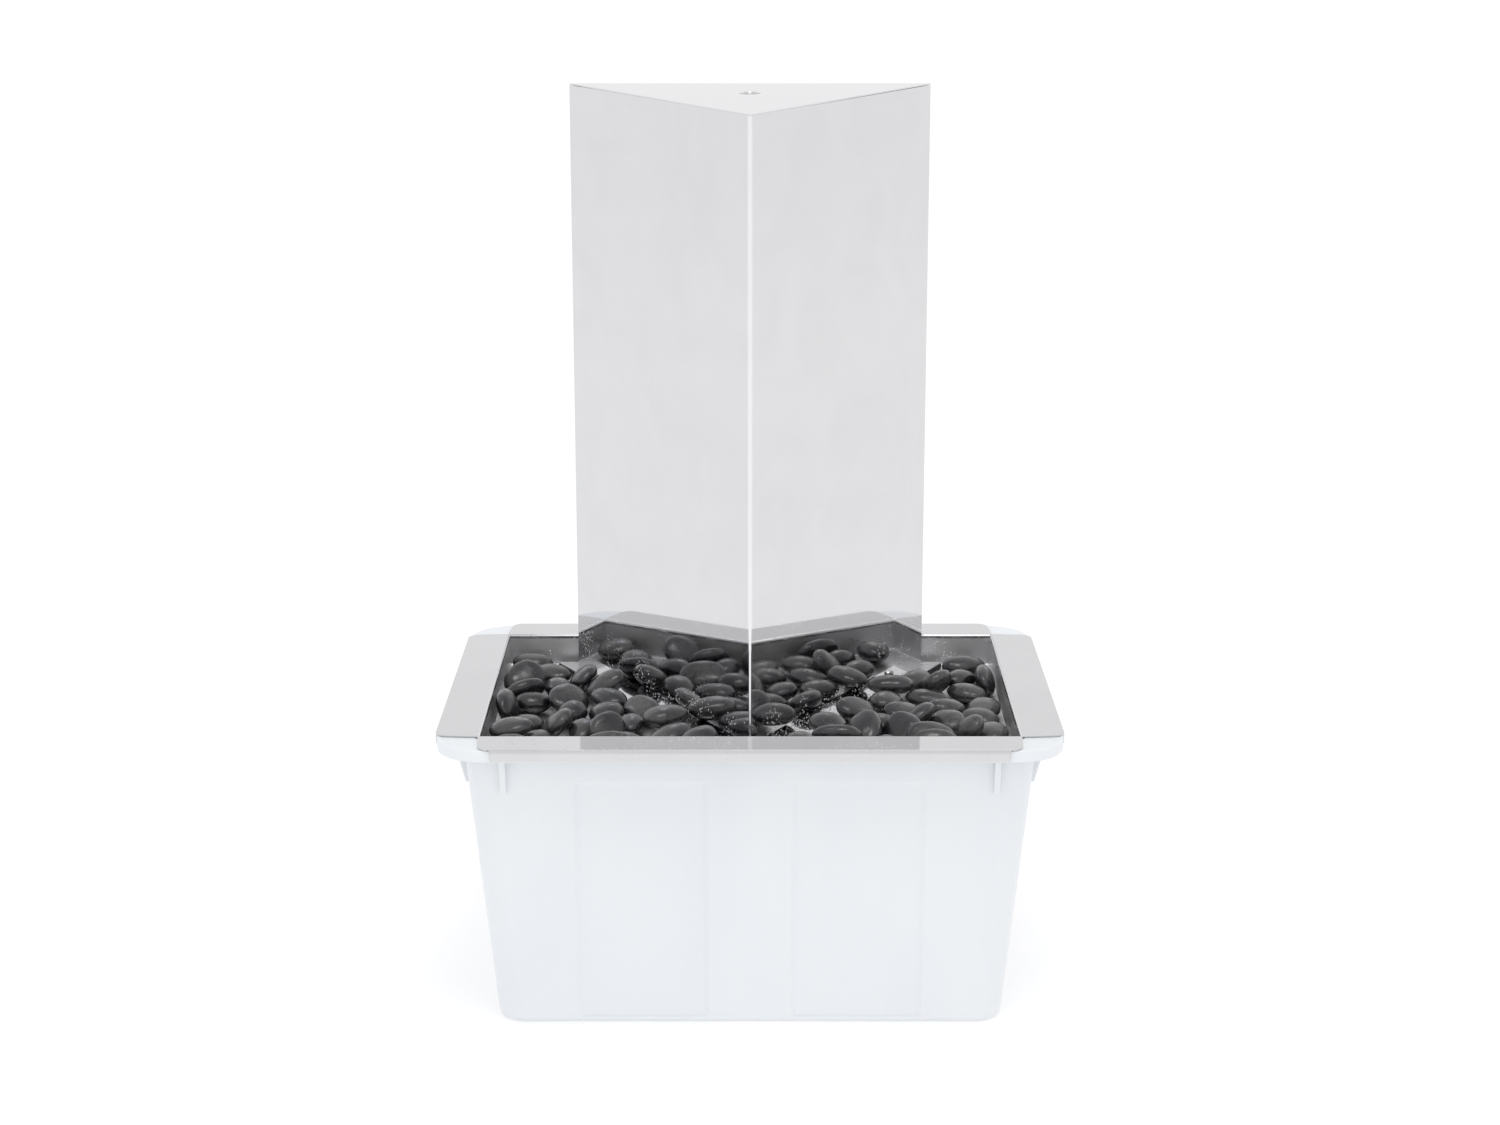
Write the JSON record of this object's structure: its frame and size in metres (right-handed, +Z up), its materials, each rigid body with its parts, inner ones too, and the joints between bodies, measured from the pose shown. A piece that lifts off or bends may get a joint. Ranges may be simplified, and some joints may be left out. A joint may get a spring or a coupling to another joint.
{
  "type": "waterfall fountain",
  "caption": "Waterfall fountain: a mirror-steel triangular column stands in a pebble-filled steel tray that rests on a white plastic reservoir with a submersible pump.",
  "frame": {"origin": "the middle of the reservoir's underside, on the surface that the fountain stands on", "axes": "+Z up along the column; the column's fold faces -Y, and the tray's long side runs along X"},
  "size_m": [0.48, 0.34, 0.7074],
  "materials": {
    "tub_plastic": "moulded white polypropylene, satin gloss",
    "mirror_steel": "stainless sheet polished to a mirror, with bright folds",
    "bright_steel": "bright stainless steel",
    "pump_plastic": "black moulded plastic",
    "impeller_plastic": "natural white moulded plastic",
    "magnet_ferrite": "dark ground ferrite",
    "shaft_ceramic": "polished white ceramic",
    "black_rubber": "black rubber",
    "clear_vinyl": "clear vinyl tube, slightly milky",
    "river_pebble": "wet black river pebble, smooth with fine pits"
  },
  "bodies": {
    "reservoir": {"reservoir_tub": "tub_plastic", "pump_body": "pump_plastic", "pump_spigot": "pump_plastic", "pump_volute_cover": "pump_plastic", "pump_shaft": "shaft_ceramic", "shaft_bush_front": "black_rubber", "shaft_bush_rear": "black_rubber", "cable_gland": "black_rubber", "suction_cup_1": "black_rubber", "suction_cup_2": "black_rubber", "suction_cup_3": "black_rubber", "suction_cup_4": "black_rubber"},
    "tray": {"tray_pan": "mirror_steel", "column_shell": "mirror_steel", "column_back_panel": "mirror_steel", "column_top_plate": "mirror_steel", "foot_gasket_right": "black_rubber", "foot_gasket_left": "black_rubber", "spout_pipe": "bright_steel", "riser_hose": "clear_vinyl", "hose_clamp_spout": "bright_steel", "hose_clamp_pump": "bright_steel", "floor_grommet": "black_rubber", "foot_screw_1": "bright_steel", "foot_screw_2": "bright_steel", "foot_screw_3": "bright_steel", "foot_screw_4": "bright_steel", "foot_nut_1": "bright_steel", "foot_nut_2": "bright_steel", "foot_nut_3": "bright_steel", "foot_nut_4": "bright_steel", "pebble_01": "river_pebble", "pebble_02": "river_pebble", "pebble_03": "river_pebble", "pebble_04": "river_pebble", "pebble_05": "river_pebble", "pebble_06": "river_pebble", "pebble_07": "river_pebble", "pebble_08": "river_pebble", "pebble_09": "river_pebble", "pebble_10": "river_pebble", "pebble_11": "river_pebble", "pebble_12": "river_pebble", "pebble_13": "river_pebble", "pebble_14": "river_pebble", "pebble_15": "river_pebble", "pebble_16": "river_pebble", "pebble_17": "river_pebble", "pebble_18": "river_pebble", "pebble_19": "river_pebble", "pebble_20": "river_pebble", "pebble_21": "river_pebble", "pebble_22": "river_pebble", "pebble_23": "river_pebble", "pebble_24": "river_pebble"},
    "rotor": {"pump_impeller": "impeller_plastic", "rotor_magnet": "magnet_ferrite"},
    "strainer": {"pump_strainer": "pump_plastic"},
    "dial": {"flow_dial": "pump_plastic"}
  },
  "joints": [
    {"name": "tray_lift", "type": "slide", "parent": "reservoir", "child": "tray", "axis": [0, 0, 1], "range_m": [0, 0.26]},
    {"name": "impeller_spin", "type": "hinge", "parent": "reservoir", "child": "rotor", "pos_m": [0, 0.042, 0.0348], "axis": [1, 0, 0], "continuous": true},
    {"name": "strainer_pull", "type": "slide", "parent": "reservoir", "child": "strainer", "axis": [-1, 0, 0], "range_m": [0, 0.04]},
    {"name": "flow_dial_turn", "type": "hinge", "parent": "strainer", "child": "dial", "pos_m": [-0.032, 0.042, 0.0348], "axis": [1, 0, 0], "range_deg": [0, 45]}
  ]
}
